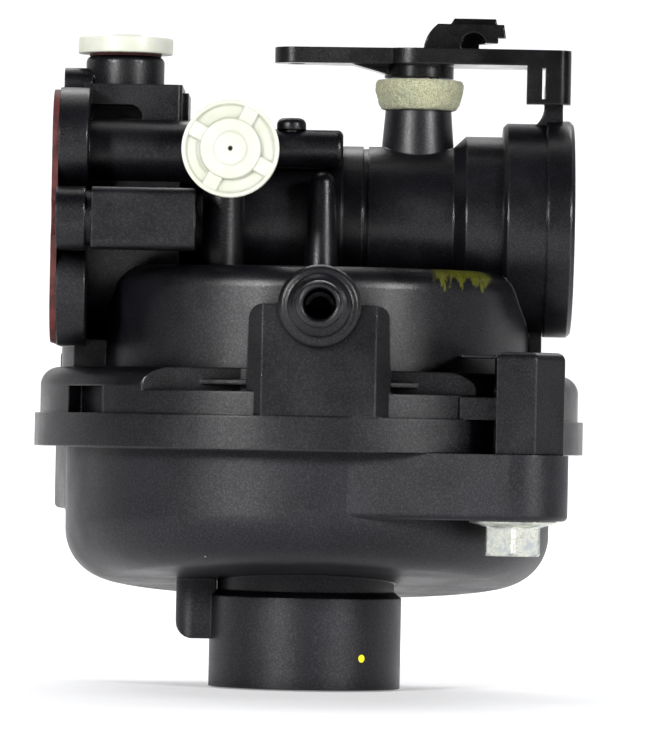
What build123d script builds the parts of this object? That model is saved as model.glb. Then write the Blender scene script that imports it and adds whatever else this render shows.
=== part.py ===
from build123d import *
import math
import os

# Small-engine float-bowl carburetor. Millimetres.
# Origin: centre of the throttle bore at the engine-side end face.
# +X leaves the bore towards the engine, +Z is up, -Y is the fuel-inlet side.

os.makedirs("parts", exist_ok=True)

# ---- throttle barrel, stations measured from the engine-side face ----
bore_r = 9.5
barrel_r = 12.0
collar_r = 13.8
bell_r = 16.4
bell_neck_r = 15.9
bell_lip = 4.1
bell_neck = 6.5
bell_edge = 0.6
collar_len = 5.6
collar_chamfer = 1.9
ring_groove_depth = 0.35
ring_groove_w = 0.8
spigot_r = 12.5
spigot_depth = 6.5
oring_land = 0.9
oring_w = 1.6
oring_depth = 1.4

# ---- throat and air inlet ----
inlet_bore_r = 11.0
inlet_bore_len = 9.0
throat_r = 7.4
throat_len = 5.0
throat_to_nozzle = 2.0
inlet_barrel_r = 13.5
inlet_reach = 37.7
flange_t = 4.3
flange_half_w = 17.5
flange_top = 19.2
flange_bottom = 19.2
lobe_r = 8.4
ear_reach = 32.0
ear_half_h = 4.6
ear_corner = 3.8
far_lobe_y0 = -8.0
far_lobe_y1 = 12.0
far_lobe_top = 22.8
far_lobe_round = 2.5
inlet_cup_r = 18.4
inlet_cup_len = 13.6
seal_t = 0.9
seal_inset = 0.4
seal_corner = 7.0
stud_spacing = 55.0
stud_hole_r = 3.25
stud_box_wall = 1.3
stud_box_start = 1.0
stud_box_len = 16.2
stud_sleeve_r = 4.1
stud_web_half_h = 2.0
stud_box_z = -0.5

# ---- throttle shaft and butterfly ----
shaft_from_face = 23.5
shaft_r = 3.0
shaft_tip_r = 2.4
running_fit = 0.05
shaft_boss_r = 6.4
shaft_boss_top_r = 5.0
shaft_boss_top = 17.5
shaft_floor = 13.0
shaft_end_gap = 0.2
plate_t = 0.9
plate_gap = 0.1
plate_screw_r = 1.2
plate_screw_head_r = 2.0
plate_screw_head = 1.1
screw_flat = 0.8
screw_slot_w = 0.6
screw_slot = 0.5
lever_skin = 0.3
fit_gap = 0.03
foam_r = 6.8
foam_foot_r = 5.8
foam_h = 4.8
foam_hole_gap = 0.4
lever_gap = 0.15

# ---- throttle lever ----
hub_r = 5.25
hub_h = 1.95
lever_t = 2.4
lever_tail = 21.9
lever_tail_r = 3.4
lever_nose = 22.9
lever_half_w = 6.4
lever_nose_round = 2.0
link_hole_r = 1.25
tab_w = 6.7
tab_t = 2.6
tab_drop = 5.8
tab_slit = 0.5
tab_leg = 2.3
tab_bridge = 0.8
post_w = 2.8
post_t = 3.0
post_h = 5.2
post_gap = 0.2
post_flare = 2.4
hook_half_w = 2.6
hook_start = 0.5
hook_root = 9.0
hook_reach = 13.0
hook_arm_rise = 3.9
hook_back_rise = 4.9
hook_back_start = 5.2
hook_lip = 1.3

# ---- float chamber: body half ----
bowl_from_face = 39.2
rim_r = 41.5
rim_top = 29.2
rim_bottom = 34.2
shoulder_r = 40.7
shoulder_top = 22.3
shoulder_round = 2.8
ledge_y = 32.5
ledge_top = 25.7
ledge_r = 34.0
ledge_lip_r = 36.2
ledge_lip_h = 0.7
ledge_lip_z = 24.7
rib_w = 1.8
rib_half_l = 3.0
rib_x = 5.2
dome_r = 33.2
dome_draft = 1.5
dome_top = 7.0
dome_round = 3.2
cheek_r = 37.6
cheek_half_w = 13.0
cheek_reach = 22.0
chamber_r = 29.0
chamber_mouth_r = 33.0
chamber_mouth_h = 11.0
chamber_roof = 14.5
recess_gap = 0.2
bowl_flange_r = 38.4
bowl_flange_t = 2.4
gasket_land = 1.2
gasket_w = 2.0
gasket_h = 1.5
window_w = 9.4
window_h = 4.0
window_depth = 2.6
window_angle = 215.2
window_bar_r = 0.8

# ---- bowl screws ----
screw_x = 30.3
screw_y = 31.0
rear_screw_x = 31.5
rear_screw_y = 29.5
screw_r = 2.4
screw_grip = 9.0
screw_boss_r = 7.2
boss_inner_w = 2.9
boss_depth = 7.0
boss_corner = 4.3
boss_top_round = 1.2
boss_edge_round = 0.5
boss_roof_w = 5.2
boss_roof_t = 0.9
boss_setback = 1.5
boss_shelf = 25.9
shelf_setback = 3.4
screw_boss_top = 19.2
lug_r = 8.0
lug_bottom = 43.9
washer_r = 6.5
washer_t = 0.9
head_flats = 8.0
head_h = 4.3

# ---- bowl ----
bowl_r = 36.7
bowl_wall = 2.4
bowl_bottom = 54.2
bowl_tilt = 6.0
lug_root_r = 35.2
lug_round = 0.8
bowl_draft = 0.6
bowl_round = 7.5
socket_r = 14.5
socket_wall = 2.0
socket_bottom = 70.0
socket_top = 56.3
neck_r = 13.4
neck_flare = 0.9
nub_w = 6.2
nub_reach = 16.5
nub_bottom = 62.9
nub_round = 2.6

# ---- fuel inlet ----
pad_front = 41.0
pad_top_w = 20.4
pad_bottom_w = 21.2
pad_top = 12.9
pad_chamfer = 1.9
pad_round = 2.0
inlet_x = 1.4
inlet_z = 13.2
fitting_collar_r = 6.1
fitting_collar_t = 2.2
fitting_r = 3.0
fitting_land_r = 3.4
fitting_land = 5.0
fitting_chamfer = 0.5
fitting_collar_round = 0.8
fitting_bore_r = 2.2
fitting_len = 17.0
fitting_spigot_r = 3.8
fitting_spigot_len = 5.0
passage_r = 1.6

# ---- needle valve and float ----
needle_y = 21.5
hinge_y = 27.5
hinge_z = 29.0
pin_r = 1.0
pin_len = 17.0
ear_w = 2.6
ear_r = 2.2
knuckle_w = 10.0
knuckle_r = 2.1
side_gap = 0.3
float_lift = 10.0
seat_r = 2.9
seat_above_hinge = 2.0
seat_roof = 2.6
seat_hole_r = 1.15
seat_tower_wall = 1.4
seat_proud = 0.8
needle_r = 1.5
needle_point_r = 0.4
needle_tip = 1.8
needle_len = 6.3
needle_gap = 0.12
seat_touch_gap = 0.04
float_r = 26.5
float_slot = 8.4
float_top = 38.0
float_h = 8.5
float_round = 1.6
float_arm_w = 6.0
float_arm_t = 1.6
float_arm_gap = 1.8
float_post_gap = 2.0

# ---- main jet ----
tower_r = 5.2
tower_bottom = 47.5
nozzle_r = 2.3
nozzle_bore_r = 1.1
nozzle_above_floor = 3.0
jet_r = 2.8
jet_len = 5.0
jet_hole_r = 0.45
jet_head = 1.4
jet_head_w = 0.8
jet_slot_w = 0.7
jet_slot = 0.7
bleed_hole_r = 0.4
bleed_holes = 4
bleed_start = 4.0
bleed_step = 4.5

# ---- jet plugs ----
plug_disc_r = 7.1
plug_disc_t = 2.5
plug_hub_r = 4.4
plug_hub_wall = 1.1
plug_rim_w = 0.9
plug_well = 1.3
plug_button_r = 2.5
plug_button_proud = 0.5
plug_pinhole_r = 0.35
plug_rib_w = 1.6
plug_ribs = 4
plug_rib_turn = 65.0
plug_washer_inset = 0.5
plug_oring_place = 0.6
plug_stem_r = 3.1
plug_stem_len = 11.0
plug_oring_w = 0.8
plug_boss_r = 5.9
front_plug_x = 51.3
front_plug_z = 9.7
front_plug_face = 37.5
top_plug_from_flange = 4.7
top_plug_y = 4.0
top_boss_top = 24.7
top_boss_round = 1.0
top_block_len = 13.6
top_block_top = 20.1
top_block_half_w = 10.0
top_block_round = 0.8
top_step_len = 0.9
top_step_top = 19.0
top_slot_len = 7.7
top_slot_low = 14.9
top_slot_top = 17.0
top_slot_depth = 3.0
washer_seal_t = 0.35

# ---- idle passages ----
gallery_r = 5.0
gallery_y = 15.0
rail_r = 2.8
rail_z = 11.0
rail_y = 12.4
rail_end = 34.8
rail_round = 0.9
rail_plug_x = 42.6
rail_plug_r = 1.5
rail_plug_head_r = 2.2
rail_plug_rise = 1.7
rail_plug_depth = 3.0
riser_a_x = 52.4
riser_a_y = 19.0
riser_a_r = 3.1
riser_b_x = 37.8
riser_b_y = 16.0
riser_b_r = 2.8
riser_b_top_r = 1.9
riser_b_top = 5.6
riser_foot = 4.0

# ---- places worked out from the sizes above ----
shaft_x = -shaft_from_face
bowl_x = -bowl_from_face
inlet_face = bowl_x - inlet_reach
flange_back = inlet_face + flange_t
bell_end = -bell_lip
neck_end = bell_end - bell_neck
collar_end = neck_end - collar_len
barrel_start = collar_end - collar_chamfer
throat_x = bowl_x - throat_to_nozzle
recess_roof = rim_bottom - bowl_flange_t - recess_gap
fuel_x = bowl_x + inlet_x
foam_top = shaft_boss_top + foam_h
needle_foot = -hinge_z + needle_gap
needle_lift = (hinge_y - needle_y) * math.radians(float_lift)
seal_line = needle_tip * (needle_r - seat_hole_r) / (needle_r - needle_point_r)
orifice_z = needle_foot + needle_len - needle_tip + seal_line + needle_lift + seat_touch_gap
seat_bottom = -hinge_z + seat_above_hinge
seat_top = orifice_z + seat_roof
hub_bottom = foam_top + lever_gap
lever_bottom = hub_bottom + hub_h
lever_top = lever_bottom + lever_t
tab_front = lever_half_w
post_front = tab_front - tab_t - post_gap
screws = [(bowl_x + screw_x, -screw_y), (bowl_x - rear_screw_x, rear_screw_y)]
tilt_slope = math.tan(math.radians(bowl_tilt))
top_plug_x = flange_back + top_plug_from_flange
boss_face = front_plug_face - plug_disc_t - washer_seal_t
screw_seat = shaft_x + shaft_r - screw_flat
ring_z = -plug_disc_t - plug_stem_len * plug_oring_place


def cyl_x(radius, x0, x1, y=0.0, z=0.0):
    """A cylinder along X between two stations."""
    return Pos((x0 + x1) / 2, y, z) * Rot(0, 90, 0) * Cylinder(radius, abs(x1 - x0))


def cyl_y(radius, y0, y1, x=0.0, z=0.0):
    """A cylinder along Y between two stations."""
    return Pos(x, (y0 + y1) / 2, z) * Rot(90, 0, 0) * Cylinder(radius, abs(y1 - y0))


def cyl_z(radius, z0, z1, x=0.0, y=0.0):
    """A cylinder along Z between two heights."""
    return Pos(x, y, (z0 + z1) / 2) * Cylinder(radius, abs(z1 - z0))


def block(x0, x1, y0, y1, z0, z1):
    """A box between two opposite corners."""
    centre = ((x0 + x1) / 2, (y0 + y1) / 2, (z0 + z1) / 2)
    return Pos(*centre) * Box(abs(x1 - x0), abs(y1 - y0), abs(z1 - z0))


def turned_x(points):
    """A solid of revolution about the bore axis, from (station, radius) points."""
    profile = make_face(Polyline(*[(x, 0, r) for x, r in points], close=True))
    return revolve(profile, Axis.X)


def slab(sketch, z0, z1):
    """A flat outline carried from one height up to another."""
    return Pos(0, 0, z0) * extrude(sketch, z1 - z0)


def rounded(solid, radius, axis, side):
    """The solid with the outer edges of one end face rounded."""
    edges = solid.faces().sort_by(axis)[side].edges()
    return fillet(edges, radius)


def joined(pieces):
    """One solid from overlapping ones."""
    whole = pieces[0]
    for piece in pieces[1:]:
        whole = whole + piece
    return whole


# ---------------------------------------------------------------- body

def barrel():
    """Stepped outside of the throttle barrel, with the bell at the engine side."""
    end = bowl_x
    groove_x = barrel_start - (barrel_r + ring_groove_w)
    outline = [
        (0, 0), (0, bell_r - bell_edge), (-bell_edge, bell_r), (bell_end, bell_r), (bell_end, bell_neck_r),
        (neck_end + bell_edge, bell_neck_r), (neck_end, bell_neck_r - bell_edge), (neck_end, collar_r),
        (collar_end, collar_r),
        (barrel_start, barrel_r), (groove_x, barrel_r),
        (groove_x, barrel_r - ring_groove_depth),
        (groove_x - ring_groove_w, barrel_r - ring_groove_depth),
        (groove_x - ring_groove_w, barrel_r), (end, barrel_r), (end, 0),
    ]
    return turned_x(outline)


def flange():
    """Air-side flange: four corner lobes, two stud ears and a raised lobe on the far side."""
    middle = Pos(0, (flange_top - flange_bottom) / 2) * Rectangle(
        2 * flange_half_w, flange_top + flange_bottom)
    ears = Pos(0, stud_box_z) * fillet(Rectangle(2 * ear_reach, 2 * ear_half_h).vertices(), ear_corner)
    far = Pos((far_lobe_y0 + far_lobe_y1) / 2, far_lobe_top / 2) * Rectangle(
        far_lobe_y1 - far_lobe_y0, far_lobe_top)
    outline = middle + ears + fillet(far.vertices(), far_lobe_round)
    for side in (-1, 1):
        for height in (flange_top - lobe_r, lobe_r - flange_bottom):
            outline = outline + Pos(side * flange_half_w, height) * Circle(lobe_r)
    return Pos(inlet_face, 0, 0) * extrude(Plane.YZ * outline, flange_t)


def stud_box(side):
    """Square sleeve that a mounting stud passes through, on a thinner round root."""
    half = stud_hole_r + stud_box_wall
    y = side * stud_spacing / 2
    start = flange_back + stud_box_start
    shape = block(start, flange_back + stud_box_len, y - half, y + half,
                  stud_box_z - half, stud_box_z + half)
    shape = fillet(shape.edges().filter_by(Axis.X), stud_box_wall)
    return shape + cyl_x(stud_sleeve_r, flange_back - 1, start + 1, y, stud_box_z)


def stud_web(side):
    """Web that ties a stud sleeve to the inlet barrel."""
    y = side * stud_spacing / 2
    return block(flange_back - 1, flange_back + stud_box_len - stud_box_wall,
                 0, y, stud_box_z - stud_web_half_h, stud_box_z + stud_web_half_h)


def dome():
    """Roof of the float chamber, drafted and rounded at the top."""
    height = shoulder_top - dome_top
    top_r = dome_r - height * math.tan(math.radians(dome_draft))
    shape = Pos(bowl_x, 0, -(shoulder_top + dome_top) / 2) * Cone(dome_r, top_r, height)
    return rounded(shape, dome_round, Axis.Z, -1)


def front_slot(inner, z0, z1):
    """Ring-shaped slot in the shoulder, on the fuel side only."""
    ring = cyl_z(shoulder_r + 1, z0, z1, bowl_x) - cyl_z(inner, z0, z1, bowl_x)
    front = block(bowl_x - rim_r, bowl_x + rim_r, -rim_r - 1, -ledge_y, z0, z1)
    return ring & front


def shoulder():
    """Step between the dome and the rim, cut back in two slots at the front."""
    disc = cyl_z(shoulder_r, -rim_top, -shoulder_top, bowl_x)
    disc = rounded(disc, shoulder_round, Axis.Z, -1)
    lip_top = -ledge_lip_z + ledge_lip_h
    disc = disc - front_slot(ledge_r, -ledge_top, -ledge_lip_z)
    disc = disc - front_slot(ledge_lip_r, -ledge_lip_z, lip_top)
    return disc - front_slot(ledge_r, lip_top, -shoulder_top + 1)


def cheek():
    """Local widening of the dome's foot under the air-side flange."""
    low = cyl_z(cheek_r, -shoulder_top - 1, -flange_bottom + 1, bowl_x)
    return low & block(inlet_face, bowl_x - cheek_reach, -cheek_half_w, cheek_half_w,
                       -shoulder_top - 1, 0)


def screw_boss(x, y):
    """Square-sided boss for a bowl screw, with a roof that ties it to the dome."""
    toward = math.copysign(1, x - bowl_x)
    outward = math.copysign(1, y)
    inner_x = x - toward * boss_inner_w
    outer_x = x + toward * screw_boss_r
    front_y = y + outward * boss_depth
    back_y = y - outward * screw_boss_r
    inset_y = front_y - outward * boss_setback
    wing_x = inner_x - toward * boss_roof_w
    post = block(inner_x, outer_x, back_y, front_y, -rim_bottom, -screw_boss_top)
    corner = post.edges().filter_by(Axis.Z).sort_by(lambda e: abs(e.center().X - inner_x)
                                                    + abs(e.center().Y - back_y))[-1]
    post = chamfer(corner, boss_corner)
    slanted = post.edges().filter_by(Axis.Z).sort_by(lambda e: abs(e.center().Y - back_y)
                                                     + abs(e.center().X - inner_x))[-2:]
    post = fillet(slanted, boss_edge_round)
    post = rounded(post, boss_top_round, Axis.Z, -1)
    roof = block(wing_x, inner_x + toward, back_y, inset_y,
                 -screw_boss_top - boss_roof_t, -screw_boss_top - boss_edge_round)
    shelf = block(wing_x, inner_x + toward, back_y, front_y - outward * shelf_setback, -rim_top, -boss_shelf)
    return post + roof + shelf


def inlet_pad():
    """Flat-faced pad that the fuel fitting seats on."""
    outline = [
        (-pad_top_w / 2, -pad_top), (pad_top_w / 2, -pad_top),
        (pad_bottom_w / 2, -rim_top), (-pad_bottom_w / 2, -rim_top),
    ]
    face = make_face(Polyline(*outline, close=True))
    top = face.vertices().sort_by(Axis.Y)[-2:]
    face = fillet(top, pad_round)
    pad = Pos(fuel_x, 0, 0) * extrude(Plane.XZ * face, pad_front)
    half = pad_top_w / 2 - pad_chamfer
    wide = half + 2 * pad_chamfer
    for side in (-1, 1):
        cutter = make_face(Polyline(
            (side * half, -pad_front), (side * wide, -pad_front),
            (side * wide, -pad_front + 2 * pad_chamfer), close=True))
        pad = pad - Pos(fuel_x, 0, -rim_top - 1) * extrude(cutter, rim_top)
    return pad - cyl_z(chamber_r, -rim_bottom, 0, bowl_x)


def top_block():
    """Block over the inlet barrel that carries the upper jet plug's boss."""
    front = -top_block_half_w - top_plug_y
    back = top_block_half_w - top_plug_y
    end = flange_back + top_block_len
    shape = block(flange_back - 1, end, front, back, 0, top_block_top)
    upright = shape.edges().filter_by(Axis.Z).sort_by(Axis.X)[-2:]
    shape = fillet(upright, top_block_round)
    slot = block(flange_back, flange_back + top_slot_len, front - 1, front + top_slot_depth,
                 top_slot_low, top_slot_top)
    slot = fillet(slot.edges().filter_by(Axis.Y).sort_by(lambda e: e.center().X + e.center().Z)[-1],
                  top_slot_top - top_slot_low - 0.1)
    step = block(end - 1, end + top_step_len, front + top_slot_depth, back - top_slot_depth, 0, top_step_top)
    boss = cyl_z(plug_boss_r, top_block_top - 1, top_boss_top, top_plug_x, -top_plug_y)
    return shape - slot + step + rounded(boss, top_boss_round, Axis.Z, -1)


def idle_passages():
    """Front gallery, plug boss, rail and the risers that come up from the dome."""
    gallery = cyl_x(gallery_r, flange_back - 1, -front_plug_x, -gallery_y, front_plug_z)
    boss = cyl_y(plug_boss_r, -boss_face, -2, -front_plug_x, front_plug_z)
    rail = cyl_x(rail_r, -front_plug_x, -rail_end, -rail_y, rail_z)
    rail = rounded(rail, rail_round, Axis.X, -1)
    web = block(-front_plug_x, -rail_end - rail_r, -rail_y, 0, rail_z - rail_r, rail_z)
    foot_z = -dome_top - riser_foot
    riser_a = cyl_z(riser_a_r, foot_z, front_plug_z, -riser_a_x, -riser_a_y)
    span = riser_b_top - foot_z
    riser_b = Pos(-riser_b_x, -riser_b_y, riser_b_top - span / 2) * Cone(riser_b_r, riser_b_top_r, span)
    cap = Pos(-riser_b_x, -riser_b_y, riser_b_top) * Sphere(riser_b_top_r)
    return [gallery, boss, rail, web, riser_a, riser_b, cap]


def inlet_cup():
    """Wide barrel behind the air-side flange, which runs into the dome."""
    return cyl_x(inlet_cup_r, flange_back - 1, flange_back + inlet_cup_len)


def stop_post():
    """Idle stop on top of the bell, which the lever's tab rests against."""
    x0 = shaft_x + lever_nose - tab_w + tab_leg + tab_slit
    shape = block(x0, x0 + post_w, -post_front, -post_front + post_t, bell_r - 2.5, bell_r + post_h)
    shape = fillet(shape.edges().filter_by(Axis.Z), 0.6)
    low = bell_neck_r - 1
    high = bell_r + post_flare
    foot = Plane.XZ * make_face(Wire([
        ThreePointArc((x0 - post_flare, low), (x0 - 0.3 * post_flare, (2 * low + high) / 3), (x0, high)),
        Line((x0, high), (x0 + post_w, high)),
        Line((x0 + post_w, high), (x0 + post_w, low - 1)),
        Line((x0 + post_w, low - 1), (x0 - post_flare, low - 1)),
        Line((x0 - post_flare, low - 1), (x0 - post_flare, low)),
    ]))
    return shape + Pos(0, -post_front + post_t, 0) * extrude(foot, post_t)


def bell_rib():
    """Short rib between the bell and the shoulder."""
    return block(-rib_x - rib_w / 2, -rib_x + rib_w / 2, -rib_half_l, rib_half_l,
                 -shoulder_top - 1, -bell_neck_r + 1)


def shaft_boss():
    """Tapered boss that the throttle shaft comes out of."""
    return Pos(shaft_x, 0, shaft_boss_top / 2) * Cone(shaft_boss_r, shaft_boss_top_r, shaft_boss_top)


def chamber_cut():
    """Space for the float inside the body."""
    main = cyl_z(chamber_r, -rim_bottom - 1, -chamber_roof, bowl_x)
    mouth = cyl_z(chamber_mouth_r, -rim_bottom - 1, -rim_bottom + chamber_mouth_h, bowl_x)
    recess = cyl_z(bowl_flange_r + recess_gap, -rim_bottom - 1, -recess_roof, bowl_x)
    return main + mouth + recess


def gasket_ring():
    """The bowl gasket, which fills its groove."""
    inner = chamber_mouth_r + gasket_land
    ring = cyl_z(inner + gasket_w, -recess_roof, -recess_roof + gasket_h, bowl_x)
    return ring - cyl_z(inner, -recess_roof - 1, -recess_roof + gasket_h + 1, bowl_x)


def bore_cut():
    """Air inlet, throat, throttle bore and engine spigot, as one turned hole."""
    straight = inlet_face + inlet_bore_len
    outline = [
        (inlet_face - 1, 0), (inlet_face - 1, inlet_bore_r), (straight, inlet_bore_r),
        (throat_x - throat_len / 2, throat_r), (throat_x + throat_len / 2, throat_r),
        (shaft_x - bore_r - 1, bore_r), (-spigot_depth, bore_r), (-spigot_depth, spigot_r),
        (1, spigot_r), (1, 0),
    ]
    return turned_x(outline)


def engine_side_oring():
    """Face seal round the spigot bore, which fills its groove."""
    inner = spigot_r + oring_land
    return cyl_x(inner + oring_w, -oring_depth, 0) - cyl_x(inner, -oring_depth - 1, 1)


def window_cut():
    """Small window in the shoulder, with an upright bar left in it."""
    place = Pos(bowl_x, 0, 0) * Rot(0, 0, window_angle)
    pocket = block(shoulder_r - window_depth, shoulder_r + 2, -window_w / 2, window_w / 2,
                   -rim_top, -rim_top + window_h)
    bar = cyl_z(window_bar_r, -rim_top, -rim_top + window_h, shoulder_r - window_depth / 2,
                (window_w - window_bar_r) / 2)
    return place * (pocket - bar)


def inner_towers():
    """Jet tower, needle seat tower and hinge ears that hang in the float chamber."""
    jet = cyl_z(tower_r, -tower_bottom, -chamber_roof + 1, bowl_x)
    seat = cyl_z(seat_r + seat_tower_wall, seat_bottom + seat_proud, -chamber_roof + 1, fuel_x, -needle_y)
    ears = []
    offset = knuckle_w / 2 + side_gap + ear_w / 2
    for side in (-1, 1):
        x = fuel_x + side * offset
        bar = block(x - ear_w / 2, x + ear_w / 2, -hinge_y - ear_r, -hinge_y + ear_r,
                    -hinge_z, -shoulder_top + 1)
        ears.append(bar + cyl_x(ear_r, x - ear_w / 2, x + ear_w / 2, -hinge_y, -hinge_z))
    bridge = block(fuel_x - pin_len / 2, fuel_x + pin_len / 2, -chamber_r - 1, -hinge_y + ear_r,
                   -shoulder_top - 1.5, -shoulder_top + 2)
    return [jet, seat, bridge] + ears


def small_holes():
    """Passages, threads and pin holes."""
    cuts = [
        cyl_z(shaft_r + running_fit, -shaft_floor, shaft_boss_top + 1, shaft_x),
        cyl_y(fitting_spigot_r, -pad_front - 1, -pad_front + fitting_spigot_len, fuel_x, -inlet_z),
        cyl_y(passage_r, -pad_front, -needle_y, fuel_x, -inlet_z),
        cyl_z(passage_r, seat_top - 1, -inlet_z, fuel_x, -needle_y),
        cyl_z(seat_r, -hinge_z, seat_top, fuel_x, -needle_y),
        cyl_x(pin_r, fuel_x - pin_len / 2, fuel_x + pin_len / 2, -hinge_y, -hinge_z),
        cyl_z(nozzle_r, -tower_bottom - 1, 0, bowl_x),
        cyl_z(jet_r, -tower_bottom - 1, -tower_bottom + jet_len, bowl_x),
        cyl_y(plug_stem_r + fit_gap, -front_plug_face, -front_plug_face + plug_disc_t + plug_stem_len + 1,
              -front_plug_x, front_plug_z),
        cyl_z(plug_stem_r + fit_gap, top_boss_top - plug_stem_len - 1, top_boss_top + 1,
              top_plug_x, -top_plug_y),
        cyl_z(rail_plug_r, rail_z + rail_r - rail_plug_depth, rail_z + rail_r + 1, -rail_plug_x, -rail_y),
    ]
    for x, y in screws:
        cuts.append(cyl_z(screw_r + fit_gap, -rim_bottom - 1, -rim_bottom + screw_grip + 1, x, y))
    for side in (-1, 1):
        cuts.append(cyl_x(stud_hole_r, inlet_face - 1, flange_back + stud_box_len + 1,
                          side * stud_spacing / 2, stud_box_z))
    return cuts


def carburetor_body():
    shell = joined([
        barrel(), cyl_x(inlet_barrel_r, flange_back - 1, -rail_end), flange(), dome(), shoulder(),
        cyl_z(rim_r, -rim_bottom, -rim_top, bowl_x), inlet_pad(), top_block(), inlet_cup(),
        stud_box(-1), stud_box(1), stud_web(-1), stud_web(1),
        shaft_boss(), stop_post(), bell_rib(), cheek(),
    ] + idle_passages() + [screw_boss(x, y) for x, y in screws])
    shell = shell - chamber_cut() - gasket_ring() - window_cut()
    shell = joined([shell] + inner_towers())
    shell = shell - bore_cut() - engine_side_oring()
    for cut in small_holes():
        shell = shell - cut
    return shell


def inlet_flange_seal():
    """Silicone gasket on the air-side flange."""
    height = flange_top + flange_bottom - 2 * seal_inset
    sheet = Rectangle(2 * (flange_half_w + lobe_r - seal_inset), height)
    sheet = Pos(0, (flange_top - flange_bottom) / 2) * fillet(sheet.vertices(), seal_corner)
    sheet = Pos(inlet_face - seal_t, 0, 0) * extrude(Plane.YZ * sheet, seal_t)
    sheet = sheet - cyl_x(inlet_bore_r, inlet_face - seal_t - 1, inlet_face + 1)
    for side in (-1, 1):
        sheet = sheet - cyl_x(stud_hole_r, inlet_face - seal_t - 1, inlet_face + 1,
                              side * stud_spacing / 2, stud_box_z)
    return sheet


# ---------------------------------------------------------------- throttle

def throttle_shaft():
    """Steel spindle, slotted for the butterfly and drilled for its screw."""
    rod = cyl_z(shaft_r, -shaft_floor + shaft_end_gap, hub_bottom, shaft_x)
    tip = cyl_z(shaft_tip_r, hub_bottom, lever_top - lever_skin, shaft_x)
    slot = block(shaft_x - plate_t / 2, shaft_x + plate_t / 2, -shaft_r - 1, shaft_r + 1, -bore_r, bore_r)
    screw = cyl_x(plate_screw_r, shaft_x - shaft_r - 1, shaft_x + shaft_r + 1)
    half = plate_screw_head_r + plate_gap
    flat = block(screw_seat, shaft_x + shaft_r + 1, -shaft_r, shaft_r, -half, half)
    return rod + tip - slot - screw - flat


def throttle_plate():
    """Butterfly disc that closes the bore."""
    disc = cyl_x(bore_r - plate_gap, shaft_x - plate_t / 2, shaft_x + plate_t / 2)
    return disc - cyl_x(plate_screw_r, shaft_x - 1, shaft_x + 1)


def throttle_plate_screw():
    """Screw through the shaft and the disc, with a slotted head."""
    shank = cyl_x(plate_screw_r, shaft_x - shaft_r + screw_flat / 2, screw_seat)
    top = screw_seat + plate_screw_head
    head = cyl_x(plate_screw_head_r, screw_seat, top)
    slot = block(top - screw_slot, top + 1, -screw_slot_w / 2, screw_slot_w / 2,
                 -plate_screw_head_r - 1, plate_screw_head_r + 1)
    return shank + head - slot


def lever_plate():
    """Flat outline of the lever: a tapered tail and a broad nose about the hub."""
    nose = Pos(lever_nose / 2, 0) * Rectangle(lever_nose, 2 * lever_half_w)
    nose = fillet(nose.vertices().group_by(Axis.X)[-1], lever_nose_round)
    eye = Circle(lever_half_w)
    tip = Pos(-(lever_tail - lever_tail_r), 0) * Circle(lever_tail_r)
    tail = make_hull((Circle(hub_r) + tip).edges())
    return nose + eye + tail


def hook_layer(path, y0, y1):
    """One layer of the governor hook, from its outline over the lever's top face."""
    face = Plane.XZ * make_face(Wire(path))
    return Pos(0, y1, lever_top - hub_bottom) * extrude(face, y1 - y0)


def governor_hook():
    """Curved arm with a snap end for the governor link, and a taller back to it."""
    rise = hook_arm_rise
    arm = [
        Spline((hook_start, -0.4), (hook_start + 0.8, rise * 0.6), (hook_start + 2.2, rise)),
        Line((hook_start + 2.2, rise), (hook_reach - 0.3, rise)),
        Line((hook_reach - 0.3, rise), (hook_reach, rise - 2.0)),
        Line((hook_reach, rise - 2.0), (hook_reach - 1.2, rise - 2.0)),
        Line((hook_reach - 1.2, rise - 2.0), (hook_reach - 1.2, rise - 2.8)),
        Line((hook_reach - 1.2, rise - 2.8), (hook_root + 0.9, rise - 2.8)),
        ThreePointArc((hook_root + 0.9, rise - 2.8), (hook_root - 0.9, rise - hook_lip), (hook_root - 2.4, -0.4)),
        Line((hook_root - 2.4, -0.4), (hook_start, -0.4)),
    ]
    top = hook_back_rise
    back = [
        Line((hook_back_start - 1.2, -0.4), (hook_back_start - 0.6, rise)),
        Line((hook_back_start - 0.6, rise), (hook_back_start, top)),
        Line((hook_back_start, top), (hook_reach - 1.5, top)),
        Line((hook_reach - 1.5, top), (hook_reach - 1.1, rise - 0.3)),
        Line((hook_reach - 1.1, rise - 0.3), (hook_reach - 1.1, rise - 2.6)),
        Line((hook_reach - 1.1, rise - 2.6), (hook_root, rise - 2.9)),
        Line((hook_root, rise - 2.9), (hook_root, -0.4)),
        Line((hook_root, -0.4), (hook_back_start - 1.2, -0.4)),
    ]
    return hook_layer(arm, -hook_half_w, 0.1) + hook_layer(back, 0, hook_half_w)


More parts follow.
